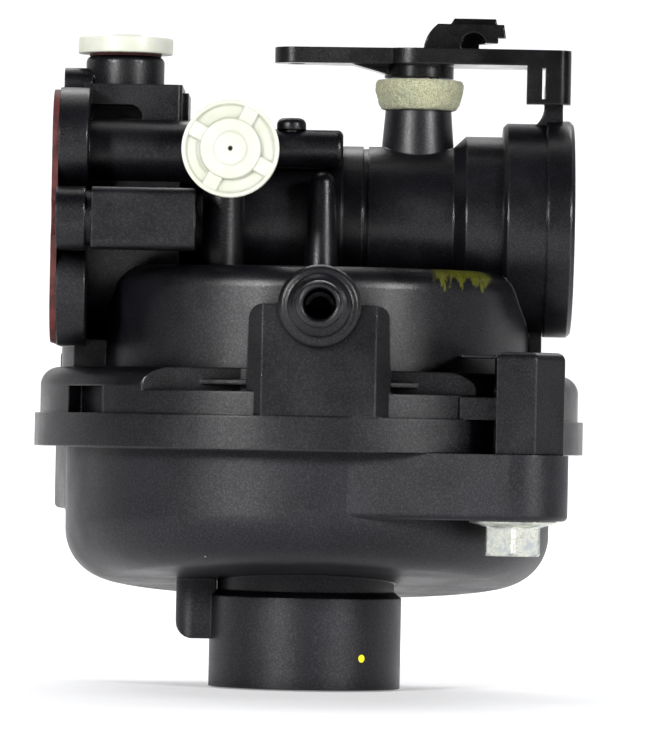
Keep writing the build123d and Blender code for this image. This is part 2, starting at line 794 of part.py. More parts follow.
def throttle_lever():
    """Moulded lever, pressed on the shaft: hub, arms, stop tab and link hook."""
    rise = lever_bottom - hub_bottom
    plate = slab(lever_plate(), rise, rise + lever_t)
    hub = cyl_z(hub_r, 0, rise + 0.1)
    gusset = make_face(Polyline((-hub_r - 5.0, rise), (-hub_r + 1, rise), (-hub_r + 1, 0.3), close=True))
    gusset = Pos(0, 2.5, 0) * extrude(Plane.XZ * gusset, 5.0)
    tab = block(lever_nose - tab_w, lever_nose, -tab_front, -tab_front + tab_t, rise - tab_drop, rise + 0.2)
    uprights = tab.edges().filter_by(Axis.Z).sort_by(lambda e: e.center().X - e.center().Y)
    tab = fillet(uprights[-1], lever_nose_round)
    slit_x = lever_nose - tab_w + tab_leg
    slit = block(slit_x, slit_x + tab_slit, -tab_front - 1, -tab_front + tab_t + 1,
                 rise - tab_drop + tab_bridge, rise - 0.4)
    shape = plate + hub + gusset + (tab - slit) + governor_hook()
    shape = shape - cyl_z(link_hole_r, -1, rise + lever_t + 1, -(lever_tail - lever_tail_r))
    shape = shape - cyl_z(shaft_tip_r, -1, lever_top - hub_bottom - lever_skin)
    return Pos(shaft_x, 0, hub_bottom) * shape


def shaft_foam_seal():
    """Foam washer that keeps dust out of the shaft bore; its sides bulge."""
    inner = shaft_r + foam_hole_gap
    z0 = shaft_boss_top
    belly = (2 * foam_r + foam_foot_r) / 3 + 0.2
    side = ThreePointArc((foam_foot_r, z0), (belly, (z0 + foam_top) / 2), (foam_r, foam_top))
    outline = Wire([
        Line((inner, z0), (foam_foot_r, z0)), side, Line((foam_r, foam_top), (inner, foam_top)),
        Line((inner, foam_top), (inner, z0)),
    ])
    return Pos(shaft_x, 0, 0) * revolve(Plane.XZ * make_face(outline), Axis.Z)


# ---------------------------------------------------------------- jet plugs

def jet_plug():
    """Nylon jet plug, face up at z = 0: ribbed disc, centre button and grooved stem."""
    disc = cyl_z(plug_disc_r, -plug_disc_t, 0)
    well = cyl_z(plug_disc_r - plug_rim_w, -plug_well, 1) - cyl_z(plug_hub_r, -plug_well - 1, 2)
    for turn in range(plug_ribs):
        rib = block(0, plug_disc_r, -plug_rib_w / 2, plug_rib_w / 2, -plug_well - 1, 2)
        well = well - Rot(0, 0, plug_rib_turn + turn * 360 / plug_ribs) * rib
    cup = cyl_z(plug_hub_r - plug_hub_wall, -plug_well, 1) - cyl_z(plug_button_r, -plug_well - 1, 2)
    button = cyl_z(plug_button_r, -plug_well, plug_button_proud)
    neck_r = plug_stem_r - plug_oring_w
    stem = cyl_z(plug_stem_r, -plug_disc_t - plug_stem_len, -plug_disc_t)
    groove = stem_ring(plug_stem_r + 1, neck_r)
    hole = cyl_z(plug_pinhole_r, -plug_disc_t, 2)
    return disc - well - cup + button + stem - groove - hole


def stem_ring(outer, inner):
    """Ring in the middle of a plug's stem."""
    ring = cyl_z(outer, ring_z - plug_oring_w, ring_z + plug_oring_w)
    return ring - cyl_z(inner, ring_z - plug_oring_w - 1, ring_z + plug_oring_w + 1)


def plug_oring():
    return stem_ring(plug_stem_r, plug_stem_r - plug_oring_w)


def plug_washer():
    """Thin seal between a plug's disc and its boss."""
    ring = cyl_z(plug_boss_r - plug_washer_inset, -plug_disc_t - washer_seal_t, -plug_disc_t)
    return ring - cyl_z(plug_stem_r, -plug_disc_t - 2, -plug_disc_t + 1)


front_plug_place = Pos(-front_plug_x, -front_plug_face, front_plug_z) * Rot(90, 0, 0)
top_plug_place = Pos(top_plug_x, -top_plug_y, top_boss_top + washer_seal_t + plug_disc_t)


def rail_plug():
    """Domed plug that closes the idle rail's drilling."""
    top = rail_z + rail_r
    stem = cyl_z(rail_plug_r, top - rail_plug_depth, top)
    head = cyl_z(rail_plug_head_r, top, top + rail_plug_rise)
    head = rounded(head, rail_plug_rise * 0.6, Axis.Z, -1)
    return Pos(-rail_plug_x, -rail_y, 0) * (stem + head)


# ---------------------------------------------------------------- jets, needle and float

def main_nozzle():
    """Brass tube from the main jet up into the throat, with bleed holes."""
    bottom = -tower_bottom + jet_len
    top = -bore_r + nozzle_above_floor
    tube = cyl_z(nozzle_r, bottom, top) - cyl_z(nozzle_bore_r, bottom - 1, top + 1)
    for level in range(bleed_holes):
        z = bottom + bleed_start + level * bleed_step
        tube = tube - cyl_x(bleed_hole_r, -nozzle_r - 1, nozzle_r + 1, 0, z)
    return Pos(bowl_x, 0, 0) * tube


def main_jet():
    """Screw-in brass jet at the bottom of the tower."""
    foot = -tower_bottom - jet_head
    body = cyl_z(jet_r, -tower_bottom, -tower_bottom + jet_len)
    head = cyl_z(jet_r + jet_head_w, foot, -tower_bottom)
    slot = block(-jet_r - 2, jet_r + 2, -jet_slot_w / 2, jet_slot_w / 2, foot - 1, foot + jet_slot)
    hole = cyl_z(jet_hole_r, foot - 1, -tower_bottom + jet_len + 1)
    return Pos(bowl_x, 0, 0) * (body + head - slot - hole)


def needle_seat():
    """Pressed-in seat: a guide bore below a small orifice."""
    body = cyl_z(seat_r, seat_bottom, seat_top)
    guide = cyl_z(needle_r + running_fit, seat_bottom - 1, orifice_z)
    hole = cyl_z(seat_hole_r, seat_bottom, seat_top + 1)
    return Pos(fuel_x, -needle_y, 0) * (body - guide - hole)


def inlet_needle():
    """Needle with a conical tip and a domed foot."""
    shoulder_z = needle_foot + needle_len - needle_tip
    shank = cyl_z(needle_r, needle_foot + needle_r, shoulder_z)
    tip = Pos(0, 0, shoulder_z + needle_tip / 2) * Cone(needle_r, needle_point_r, needle_tip)
    dome_foot = Pos(0, 0, needle_foot + needle_r) * Sphere(needle_r)
    return Pos(fuel_x, -needle_y, 0) * (shank + tip + dome_foot)


def float_hinge_pin():
    return cyl_x(pin_r, fuel_x - pin_len / 2, fuel_x + pin_len / 2, -hinge_y, -hinge_z)


def float_body():
    """Hollow float, open round the jet tower, with an arm, a knuckle and a needle tab."""
    ring = cyl_z(float_r, -float_top - float_h, -float_top, bowl_x)
    ring = fillet(ring.edges(), float_round)
    ring = ring - cyl_z(float_slot, -float_top - float_h - 1, -float_top + 1, bowl_x)
    ring = ring - block(bowl_x - float_slot, bowl_x + float_slot, 0, float_r + 1,
                        -float_top - float_h - 1, -float_top + 1)
    x0 = fuel_x - float_arm_w / 2
    x1 = fuel_x + float_arm_w / 2
    arm_y = -needle_y + float_arm_gap
    arm = block(x0, x1, -hinge_y, arm_y + float_post_gap, -hinge_z - float_arm_t, -hinge_z)
    post = block(x0, x1, arm_y, arm_y + float_arm_t, -float_top - 1, -hinge_z)
    knuckle = cyl_x(knuckle_r, fuel_x - knuckle_w / 2, fuel_x + knuckle_w / 2, -hinge_y, -hinge_z)
    hole = cyl_x(pin_r + running_fit, fuel_x - knuckle_w, fuel_x + knuckle_w, -hinge_y, -hinge_z)
    return ring + arm + post + knuckle - hole


def fuel_inlet_fitting():
    """Hose fitting: spigot in the pad, collar, tube and a raised land at the end."""
    base = -pad_front
    collar_end_y = base - fitting_collar_t
    tip = collar_end_y - fitting_len
    spigot = cyl_y(fitting_spigot_r, base + fitting_spigot_len, base, fuel_x, -inlet_z)
    collar = cyl_y(fitting_collar_r, base, collar_end_y, fuel_x, -inlet_z)
    collar = rounded(collar, fitting_collar_round, Axis.Y, 0)
    tube = cyl_y(fitting_r, collar_end_y, tip + 1, fuel_x, -inlet_z)
    land = cyl_y(fitting_land_r, tip, tip + fitting_land, fuel_x, -inlet_z)
    land = chamfer(land.faces().sort_by(Axis.Y)[0].edges(), fitting_chamfer)
    bore = cyl_y(fitting_bore_r, base + fitting_spigot_len + 1, tip - 1, fuel_x, -inlet_z)
    return spigot + collar + tube + land - bore


# ---------------------------------------------------------------- bowl

def lug_outline(x, y):
    """Straight-sided outline that blends a screw lug into the bowl's side."""
    return make_hull((Pos(bowl_x, 0) * Circle(lug_root_r) + Pos(x, y) * Circle(lug_r)).edges())


def cup(inset):
    """The bowl's outer shape moved in by inset: a drafted cup with a tilted, rounded floor."""
    depth = bowl_bottom - rim_bottom + bowl_r
    top_r = bowl_r - inset
    foot_r = top_r - depth * math.tan(math.radians(bowl_draft))
    shape = Pos(bowl_x, 0, -rim_bottom - depth / 2) * Cone(foot_r, top_r, depth)
    floor = Pos(bowl_x, 0, -bowl_bottom + inset) * Rot(-bowl_tilt, 0, 0) * Pos(0, 0, -bowl_r) * Box(
        4 * bowl_r, 4 * bowl_r, 2 * bowl_r)
    shape = shape - floor
    rim_edge = shape.edges().sort_by(Axis.Z)[0]
    return fillet(rim_edge, bowl_round - inset)


def bowl():
    """Float bowl: flanged cup, two screw lugs, and a hollow socket underneath."""
    flange_ring = cyl_z(bowl_flange_r, -rim_bottom, -rim_bottom + bowl_flange_t, bowl_x)
    lugs = [slab(lug_outline(x, y), -lug_bottom, -rim_bottom) for x, y in screws]
    lugs = [fillet(lug.faces().sort_by(Axis.Z)[0].edges(), lug_round) for lug in lugs]
    socket = cyl_z(socket_r, -socket_bottom, -socket_top, bowl_x)
    neck_tube = cyl_z(neck_r, -socket_top - 1, -bowl_bottom + 2, bowl_x)
    flare = Pos(bowl_x, 0, -socket_top + neck_flare / 2) * Cone(socket_r - 0.1, neck_r, neck_flare)
    nub_x = bowl_x - nub_reach
    nub = block(nub_x - nub_w / 2, bowl_x - socket_r + 1, -nub_w / 2, nub_w / 2, -nub_bottom, -bowl_bottom + 1)
    outer = nub.faces().sort_by(Axis.X)[0].edges()
    nub = fillet(outer.filter_by(Axis.Z) + outer.sort_by(Axis.Z)[:1], nub_round)
    shape = joined([cup(0), flange_ring] + lugs + [socket, neck_tube, flare, nub])
    mouth = cyl_z(bowl_r - bowl_wall, -rim_bottom - 0.5, -rim_bottom + bowl_flange_t + 1, bowl_x)
    hollow = cyl_z(socket_r - socket_wall, -socket_bottom - 1, -socket_top - 1, bowl_x)
    shape = shape - cup(bowl_wall) - mouth - hollow
    for x, y in screws:
        shape = shape - cyl_z(screw_r + 0.3, -lug_bottom - 1, -rim_bottom + 1, x, y)
    return shape


def bowl_screws():
    """Hex screws with captive washers, one under each lug."""
    solids = []
    for x, y in screws:
        washer = cyl_z(washer_r, -lug_bottom - washer_t, -lug_bottom, x, y)
        head = slab(Pos(x, y) * RegularPolygon(head_flats / 2, 6, major_radius=False),
                    -lug_bottom - washer_t - head_h, -lug_bottom - washer_t)
        cap = cyl_z(head_flats / 2 + 0.35, -lug_bottom - washer_t - head_h, -lug_bottom - washer_t, x, y)
        cap = chamfer(cap.faces().sort_by(Axis.Z)[0].edges(), 0.5)
        shank = cyl_z(screw_r, -lug_bottom - washer_t, -rim_bottom + screw_grip, x, y)
        solids.append(washer + (head & cap) + shank)
    return Compound(children=solids)


nodes = {
    "carburetor_body": carburetor_body,
    "inlet_flange_seal": inlet_flange_seal,
    "engine_side_oring": engine_side_oring,
    "throttle_shaft": throttle_shaft,
    "throttle_plate": throttle_plate,
    "throttle_plate_screw": throttle_plate_screw,
    "throttle_lever": throttle_lever,
    "shaft_foam_seal": shaft_foam_seal,
    "front_jet_plug": lambda: front_plug_place * jet_plug(),
    "front_plug_oring": lambda: front_plug_place * plug_oring(),
    "front_plug_washer": lambda: front_plug_place * plug_washer(),
    "top_jet_plug": lambda: top_plug_place * jet_plug(),
    "top_plug_oring": lambda: top_plug_place * plug_oring(),
    "top_plug_washer": lambda: top_plug_place * plug_washer(),
    "idle_rail_plug": rail_plug,
    "main_nozzle": main_nozzle,
    "main_jet": main_jet,
    "needle_seat": needle_seat,
    "inlet_needle": inlet_needle,
    "float_hinge_pin": float_hinge_pin,
    "float": float_body,
    "fuel_inlet_fitting": fuel_inlet_fitting,
    "bowl_gasket": gasket_ring,
    "bowl": bowl,
    "bowl_screws": bowl_screws,
}

for name, make in nodes.items():
    export_step(make(), f"parts/{name}.step")
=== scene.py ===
"""Looks of a small-engine float-bowl carburetor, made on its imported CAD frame."""

import math

import bmesh
import bpy
import numpy as np
from bpy.props import FloatProperty, FloatVectorProperty, IntProperty, PointerProperty
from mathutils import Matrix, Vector


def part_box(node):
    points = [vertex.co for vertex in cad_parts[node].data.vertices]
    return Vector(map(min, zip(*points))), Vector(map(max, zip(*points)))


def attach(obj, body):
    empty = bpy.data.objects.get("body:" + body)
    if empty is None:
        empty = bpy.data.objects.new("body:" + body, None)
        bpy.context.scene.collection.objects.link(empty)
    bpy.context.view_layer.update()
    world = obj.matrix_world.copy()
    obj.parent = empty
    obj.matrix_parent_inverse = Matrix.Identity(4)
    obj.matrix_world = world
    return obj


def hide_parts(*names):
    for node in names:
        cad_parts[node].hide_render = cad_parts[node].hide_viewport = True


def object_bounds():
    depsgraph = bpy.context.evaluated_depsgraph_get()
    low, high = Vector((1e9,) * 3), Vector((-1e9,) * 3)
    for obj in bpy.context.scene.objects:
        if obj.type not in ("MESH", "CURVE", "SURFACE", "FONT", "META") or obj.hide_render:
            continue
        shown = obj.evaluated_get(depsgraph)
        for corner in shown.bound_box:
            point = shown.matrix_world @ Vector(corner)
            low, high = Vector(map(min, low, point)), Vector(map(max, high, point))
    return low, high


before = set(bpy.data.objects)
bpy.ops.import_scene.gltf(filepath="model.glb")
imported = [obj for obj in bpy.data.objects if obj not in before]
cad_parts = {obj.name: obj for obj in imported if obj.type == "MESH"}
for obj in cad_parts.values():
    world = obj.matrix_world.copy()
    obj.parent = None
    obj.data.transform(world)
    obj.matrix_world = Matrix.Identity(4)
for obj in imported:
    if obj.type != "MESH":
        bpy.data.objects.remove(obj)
cad_low, cad_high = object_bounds()

bl_info = {
    "name": "Carburetor looks",
    "version": (1, 0, 0),
    "blender": (4, 5, 0),
    "location": "View3D > Sidebar > Carburetor",
    "description": "Finishes and detailed pieces of a small-engine carburetor",
    "category": "Object",
}

MM = 0.001
TURN = 2 * math.pi


# ------------------------------------------------------------------ settings

def length(name, text, value):
    return FloatProperty(name=name, description=text, default=value * MM, unit="LENGTH", precision=5)


def tint(name, text, value):
    return FloatVectorProperty(name=name, description=text, default=value, size=3, subtype="COLOR",
                               min=0.0, max=1.0)


def share(name, text, value):
    return FloatProperty(name=name, description=text, default=value, min=0.0, max=1.0, subtype="FACTOR")


class PlasticSettings(bpy.types.PropertyGroup):
    body: tint("Body", "Moulded black plastic of the body", (0.0031, 0.0029, 0.0042))
    bowl: tint("Bowl", "Moulded black plastic of the bowl", (0.0036, 0.0034, 0.0058))
    lever: tint("Lever", "Smoother black plastic of the throttle lever", (0.0026, 0.0025, 0.0028))
    worn: tint("Worn edge", "Colour of handled edges", (0.022, 0.022, 0.022))
    grain: length("Grain", "Size of the moulded grain", 0.16)
    edge: length("Edge radius", "Radius that moulded edges catch the light with", 0.38)
    gloss: share("Roughness", "Middle roughness of the moulded plastic", 0.32)


class PlugSettings(bpy.types.PropertyGroup):
    nylon: tint("Nylon", "Ivory nylon of the jet plugs", (0.61, 0.62, 0.55))
    disc_r: length("Disc radius", "Radius of a plug's head", 7.15)
    hub_r: length("Hub radius", "Radius of the raised middle", 4.35)
    button_r: length("Button radius", "Radius of the small button at the foot", 2.65)
    button_top_r: length("Button top", "Radius of the button's flat", 2.2)
    lip: length("Lip", "Width of the thin outer lip", 0.55)
    well: length("Well", "Depth of the wells between the spokes", 1.0)
    spoke: length("Spoke", "Width of a spoke", 2.4)
    pinhole: length("Pinhole", "Radius of the moulded centre mark", 0.32)
    spokes: IntProperty(name="Spokes", description="Spokes between hub and lip", default=4, min=2, max=8)
    first_spoke: FloatProperty(name="First spoke", description="Angle of the first spoke",
                               default=math.radians(62), subtype="ANGLE")


class FoamSettings(bpy.types.PropertyGroup):
    colour: tint("Foam", "Pale open-cell foam", (0.46, 0.455, 0.30))
    cell: length("Cell", "Size of the foam's cells", 0.17)
    rough: length("Raggedness", "How far the skin wanders", 0.16)


class MetalSettings(bpy.types.PropertyGroup):
    zinc: tint("Zinc", "Zinc-plated screws", (0.74, 0.75, 0.67))
    steel: tint("Steel", "Ground steel shaft and pins", (0.48, 0.48, 0.47))
    brass: tint("Brass", "Turned brass jets and plate", (0.62, 0.44, 0.16))
    flats: length("Across flats", "Hex head of the bowl screws", 8.0)
    flange_r: length("Flange radius", "Washer face under the hex head", 6.5)
    shank_r: length("Shank radius", "Screw shank", 2.38)
    pitch: length("Pitch", "Thread pitch", 0.8)


class RubberSettings(bpy.types.PropertyGroup):
    seal: tint("Flange seal", "Red-brown silicone", (0.085, 0.016, 0.015))
    black: tint("Black rubber", "O-rings and gasket", (0.012, 0.012, 0.012))


class NippleSettings(bpy.types.PropertyGroup):
    bore_r: length("Bore", "Radius of the fuel passage", 2.2)
    land_r: length("Land", "Radius of the land that grips the hose", 3.4)
    neck_r: length("Neck", "Radius of the tube behind the land", 3.0)
    foot_r: length("Foot", "Radius where the tube flares into the collar", 4.7)
    collar_r: length("Collar", "Radius of the collar", 6.1)


class StageSettings(bpy.types.PropertyGroup):
    floor: tint("Floor", "Plain pale floor", (0.86, 0.86, 0.87))
    backdrop: tint("Backdrop", "What the camera sees behind", (1.0, 1.0, 1.0))
    floor_glow: FloatProperty(name="Floor glow", description="Light of the floor itself", default=0.30,
                              min=0.0)
    far: FloatProperty(name="Distance", description="Camera distance", default=1.0, unit="LENGTH")
    lens: FloatProperty(name="Lens", description="Focal length", default=320.2, subtype="DISTANCE_CAMERA")
    roll: FloatProperty(name="Roll", description="Camera roll", default=math.radians(1.1),
                        subtype="ANGLE")
    rise: FloatProperty(name="Rise", description="Camera elevation", default=math.radians(-0.6),
                        subtype="ANGLE")


GROUPS = {
    "carb_plastic": PlasticSettings, "carb_plug": PlugSettings, "carb_foam": FoamSettings,
    "carb_metal": MetalSettings, "carb_rubber": RubberSettings, "carb_nipple": NippleSettings,
    "carb_stage": StageSettings,
}


# ------------------------------------------------------------------ surfaces

def grid_piece(name, points, wrap_rows=False, wrap_columns=True):
    """A closed mesh from a grid of points: row i, column j, each four neighbours one face.
    Rows or columns that meet themselves are joined, and coincident points become one."""
    rows, columns = points.shape[:2]
    index = np.arange(rows * columns).reshape(rows, columns)
    r1 = np.roll(index, -1, 0) if wrap_rows else index[1:]
    r0 = index if wrap_rows else index[:-1]
    if wrap_columns:
        quads = np.stack([r0, np.roll(r0, -1, 1), np.roll(r1, -1, 1), r1], -1)
    else:
        quads = np.stack([r0[:, :-1], r0[:, 1:], r1[:, 1:], r1[:, :-1]], -1)
    mesh = bpy.data.meshes.new(name)
    mesh.from_pydata(points.reshape(-1, 3).tolist(), [], quads.reshape(-1, 4).tolist())
    work = bmesh.new()
    work.from_mesh(mesh)
    bmesh.ops.remove_doubles(work, verts=work.verts, dist=2e-6)
    bmesh.ops.dissolve_degenerate(work, edges=work.edges, dist=1e-7)
    bmesh.ops.recalc_face_normals(work, faces=work.faces)
    work.to_mesh(mesh)
    work.free()
    mesh.shade_smooth()
    piece = bpy.data.objects.new(name, mesh)
    bpy.context.scene.collection.objects.link(piece)
    return piece


def merged(name, parts):
    """One piece from several closed meshes."""
    work = bmesh.new()
    for part in parts:
        work.from_mesh(part.data)
    mesh = bpy.data.meshes.new(name)
    work.to_mesh(mesh)
    work.free()
    mesh.shade_smooth()
    for part in parts:
        bpy.data.objects.remove(part)
    piece = bpy.data.objects.new(name, mesh)
    bpy.context.scene.collection.objects.link(piece)
    return piece


def softened(corners, radius, steps=5):
    """A profile through the corners, each rounded by a parabola that starts and ends
    the given radius away, or half the shorter side where that is less."""
    corners = [np.array(c[:2], float) for c in corners]
    out = [corners[0]]
    t = np.linspace(0, 1, steps)[:, None]
    for before, here, after in zip(corners, corners[1:], corners[2:]):
        a, b = before - here, after - here
        reach = min(radius, np.linalg.norm(a) / 2, np.linalg.norm(b) / 2)
        start = here + a / np.linalg.norm(a) * reach
        end = here + b / np.linalg.norm(b) * reach
        out.extend((1 - t) ** 2 * start + 2 * t * (1 - t) * here + t ** 2 * end)
    out.append(corners[-1])
    return np.array(out)


def placed(r, along, angle, origin, axis, up):
    """Points at radius r and distance along an axis, turned by angle from up."""
    axis, up = np.array(axis, float), np.array(up, float)
    side = np.cross(axis, up)
    radial = np.cos(angle)[..., None] * up + np.sin(angle)[..., None] * side
    return np.array(origin) + r[..., None] * radial + along[..., None] * axis


def lattice(seed, rows, columns, coarse_rows, coarse_columns):
    """Smooth noise from -1 to 1 on a grid that closes on itself: seeded random values on
    a coarse lattice, eased between by a cosine both ways."""
    coarse = np.random.default_rng(seed).uniform(-1, 1, (coarse_rows, coarse_columns))
    u = np.arange(rows) * coarse_rows / rows
    v = np.arange(columns) * coarse_columns / columns
    iu, iv = u.astype(int), v.astype(int)
    fu = (0.5 - 0.5 * np.cos(np.pi * (u - iu)))[:, None]
    fv = (0.5 - 0.5 * np.cos(np.pi * (v - iv)))[None, :]
    ju, jv = (iu + 1) % coarse_rows, (iv + 1) % coarse_columns
    top = coarse[iu][:, iv] * (1 - fv) + coarse[iu][:, jv] * fv
    low = coarse[ju][:, iv] * (1 - fv) + coarse[ju][:, jv] * fv
    return top * (1 - fu) + low * fu


def step(x, low, high):
    """Eased rise from 0 to 1 between low and high."""
    t = np.clip((x - low) / (high - low), 0, 1)
    return t * t * (3 - 2 * t)


# ------------------------------------------------------------------ materials

class Recipe:
    """A material under construction."""

    def __init__(self, name):
        self.material = bpy.data.materials.new(name)
        self.material.use_nodes = True
        self.tree = self.material.node_tree
        self.shader = self.tree.nodes["Principled BSDF"]
        self.place = self.node("ShaderNodeTexCoord").outputs["Object"]

    def node(self, kind, inputs=None, **settings):
        made = self.tree.nodes.new(kind)
        for key, value in settings.items():
            setattr(made, key, value)
        for key, value in (inputs or {}).items():
            self.feed(made, key, value)
        return made

    def feed(self, made, key, value):
        socket = made.inputs[key]
        if isinstance(value, bpy.types.NodeSocket):
            self.tree.links.new(value, socket)
        else:
            if socket.type == "RGBA" and len(value) == 3:
                value = (*value, 1.0)
            socket.default_value = value

    def math(self, operation, a, b=0.0):
        return self.node("ShaderNodeMath", {0: a, 1: b}, operation=operation).outputs[0]

    def moved(self, offset=(0, 0, 0), scale=(1, 1, 1), turn=(0, 0, 0)):
        return self.node("ShaderNodeMapping", {"Vector": self.place, "Location": offset, "Rotation": turn,
                                               "Scale": scale}).outputs[0]

    def noise(self, size, detail=2.0, roughness=0.55, vector=None):
        """Noise whose features are about the given size."""
        made = self.node("ShaderNodeTexNoise", {
            "Vector": vector or self.place, "Scale": 1 / size, "Detail": detail,
            "Roughness": roughness})
        return made.outputs["Fac"]

    def ranged(self, value, low, high, to_low=0.0, to_high=1.0, ease="SMOOTHSTEP"):
        return self.node("ShaderNodeMapRange", {
            "Value": value, "From Min": low, "From Max": high, "To Min": to_low,
            "To Max": to_high}, interpolation_type=ease).outputs[0]

    def mix(self, share_, a, b):
        made = self.node("ShaderNodeMix", data_type="RGBA")
        self.feed(made, 0, share_)
        self.feed(made, 6, a)
        self.feed(made, 7, b)
        return made.outputs[2]

    def distance(self, point):
        """Distance from a point of the object."""
        return self.node("ShaderNodeVectorMath", {0: self.place, 1: tuple(point)},
                         operation="DISTANCE").outputs["Value"]

    def edges(self, radius, low=0.004, high=0.10):
        """Where the surface bends within a radius, from 0 on flats to 1 on sharp edges."""
        soft = self.node("ShaderNodeBevel", {"Radius": radius}, samples=4).outputs[0]
        true = self.node("ShaderNodeNewGeometry").outputs["Normal"]
        dot = self.node("ShaderNodeVectorMath", {0: soft, 1: true}, operation="DOT_PRODUCT").outputs["Value"]
        return soft, self.ranged(self.math("SUBTRACT", 1.0, dot), low, high)

    def painted_shade_mask(self, reach, low, high):
        """Mask for painted crevice shade: from 0 in deep crevices to 1 on open faces, by what lies within
        reach.
        """
        open_ = self.node("ShaderNodeAmbientOcclusion", {"Distance": reach}, samples=4).outputs["AO"]
        return self.ranged(open_, low, high)

    def bump(self, height, depth, strength=1.0, normal=None):
        made = self.node("ShaderNodeBump", {"Height": height, "Distance": depth, "Strength": strength})
        if normal is not None:
            self.feed(made, "Normal", normal)
        return made.outputs[0]

    def finish(self, **sockets):
        for key, value in sockets.items():
            self.feed(self.shader, key.replace("_", " "), value)
        return self.material


def dust(recipe, colour, amount):
    """Colour with sparse pale specks of dust and lint."""
    cells = recipe.node("ShaderNodeTexVoronoi", {"Vector": recipe.place, "Scale": 260.0})
    speck = recipe.ranged(cells.outputs["Distance"], 0.028, 0.052, 1.0, 0.0)
    picked = recipe.node("ShaderNodeSeparateColor", {"Color": cells.outputs["Color"]}).outputs[0]
    chosen = recipe.ranged(picked, 0.965, 0.97)
    return recipe.mix(recipe.math("MULTIPLY", recipe.math("MULTIPLY", speck, chosen), amount),
                      colour, (0.42, 0.42, 0.40))


def moulded_plastic(name, colour, s, gloss, bloom=1.0, texture=1.0, marks=()):
    """Black moulded plastic: fine grain in the bump, a grey bloom in patches, worn edges,
    dust, painted shade in crevices, and roughness that wanders. bloom is the share of grey on it, texture
    that of the grain's relief, and marks are paint marks: functions of recipe and colour."""
    r = Recipe(name)
    soft, edge = r.edges(s.edge)
    fine = r.noise(s.grain, 3.0, 0.7)
    speckle = r.noise(s.grain * 1.6, 2.0, 0.8, vector=r.moved((0.3, 0.1, 0.7)))
    patch = r.noise(0.011, 4.0, 0.55)
    broad = r.noise(0.030, 2.0, 0.5, vector=r.moved((0.5, 0.2, 0.1)))
    base = r.mix(r.ranged(patch, 0.42, 0.70), tuple(colour), tuple(min(1, c * 1.7) for c in colour))
    pale = r.math("MULTIPLY", r.ranged(speckle, 0.52, 0.74), r.ranged(broad, 0.38, 0.66, 0.25, 1.0))
    base = r.mix(r.math("MULTIPLY", pale, 0.55 * bloom), base, (0.0105, 0.0103, 0.0125))
    base = r.mix(r.math("MULTIPLY", edge, r.ranged(fine, 0.3, 0.7, 0.15, 0.55)), base, tuple(s.worn))
    base = dust(r, base, 0.85 * bloom)
    for mark in marks:
        base = mark(r, base)
    rough = r.math("ADD", r.ranged(patch, 0.3, 0.7, gloss - 0.05, gloss + 0.08),
                   r.ranged(fine, 0.3, 0.7, -0.05, 0.06))
    rough = r.math("SUBTRACT", rough, r.math("MULTIPLY", edge, 0.14))
    normal = r.bump(fine, s.grain * 0.12 * texture, 0.8, soft)
    # Painted shade in crevices, from ambient occlusion: it dims the sheen and darkens the base colour below.
    outside_painted_shade = r.painted_shade_mask(0.006, 0.15, 0.80)
    sheen = r.math("ADD", r.ranged(speckle, 0.40, 0.75, 0.30, 0.58), r.math("MULTIPLY", edge, 0.5))
    sheen = r.math("MULTIPLY", sheen, r.math("ADD", r.math("MULTIPLY", outside_painted_shade, 0.85), 0.15))
    # Painted shade: the base colour darkens to a quarter of the plastic's colour in crevices.
    base = r.mix(outside_painted_shade, tuple(c * 0.25 for c in colour), base)
    return r.finish(Base_Color=base, Roughness=rough, Normal=normal, IOR=1.50, Specular_IOR_Level=sheen)


def brushed_paint(centre, half_wide, half_tall):
    """A dry brush mark of olive paint, ragged at its lower edge."""
    def mark(r, colour):
        inside = r.node("ShaderNodeVectorMath", {0: r.place, 1: tuple(centre)}, operation="SUBTRACT")
        parts = r.node("ShaderNodeSeparateXYZ", {0: inside.outputs[0]})
        across = r.ranged(r.math("ABSOLUTE", parts.outputs[0]), half_wide * 0.75, half_wide, 1.0, 0.0)
        slanted = r.moved(scale=(1.0, 0.3, 0.16), turn=(0, math.radians(32), 0))
        streak = r.noise(0.0010, 4.0, 0.65, vector=slanted)
        reach = r.ranged(streak, 0.35, 0.65, -half_tall, half_tall, "LINEAR")
        ragged = r.math("ADD", parts.outputs[2], reach)
        upper = r.ranged(ragged, -0.2 * half_tall, 0.1 * half_tall)
        front = r.ranged(parts.outputs[1], half_wide * 1.2, half_wide * 1.6, 1.0, 0.0)
        share_ = r.math("MULTIPLY", r.math("MULTIPLY", across, upper), front)
        thin = r.ranged(streak, 0.30, 0.60, 0.35, 0.80)
        return r.mix(r.math("MULTIPLY", share_, thin), colour, (0.085, 0.09, 0.006))
    return mark


def paint_dot(centre, radius):
    """A round dot of yellow inspection paint."""
    def mark(r, colour):
        wobble = r.math("MULTIPLY", r.noise(0.0004), radius * 0.25)
        share_ = r.ranged(r.math("ADD", r.distance(centre), wobble), radius, radius * 1.2, 1.0, 0.0)
        return r.mix(share_, colour, (0.90, 0.90, 0.01))
    return mark


def ivory_nylon(s):
    """Ivory nylon: soft cloudiness, faint grime, painted shade in its hollows, moulded sheen."""
    r = Recipe("ivory_nylon")
    soft = r.edges(0.00025)[0]
    cloud = r.noise(0.004, 3.0)
    grime = r.noise(0.0016, 4.0, 0.7)
    base = r.mix(r.ranged(cloud, 0.35, 0.68), tuple(s.nylon), (0.56, 0.575, 0.48))
    base = r.mix(r.ranged(grime, 0.66, 0.80, 0.0, 0.25), base, (0.40, 0.38, 0.30))
    # Painted shade: darker, greyer nylon in the hollows, by ambient occlusion.
    base = r.mix(r.painted_shade_mask(0.0022, 0.35, 0.85), (0.30, 0.31, 0.25), base)
    rough = r.ranged(cloud, 0.3, 0.7, 0.28, 0.42)
    normal = r.bump(r.noise(0.0003, 3.0), 0.00001, 0.6, soft)
    return r.finish(Base_Color=base, Roughness=rough, Normal=normal, Subsurface_Weight=0.35,
                    Subsurface_Radius=(1.0, 0.95, 0.7), Subsurface_Scale=0.0012, IOR=1.50)


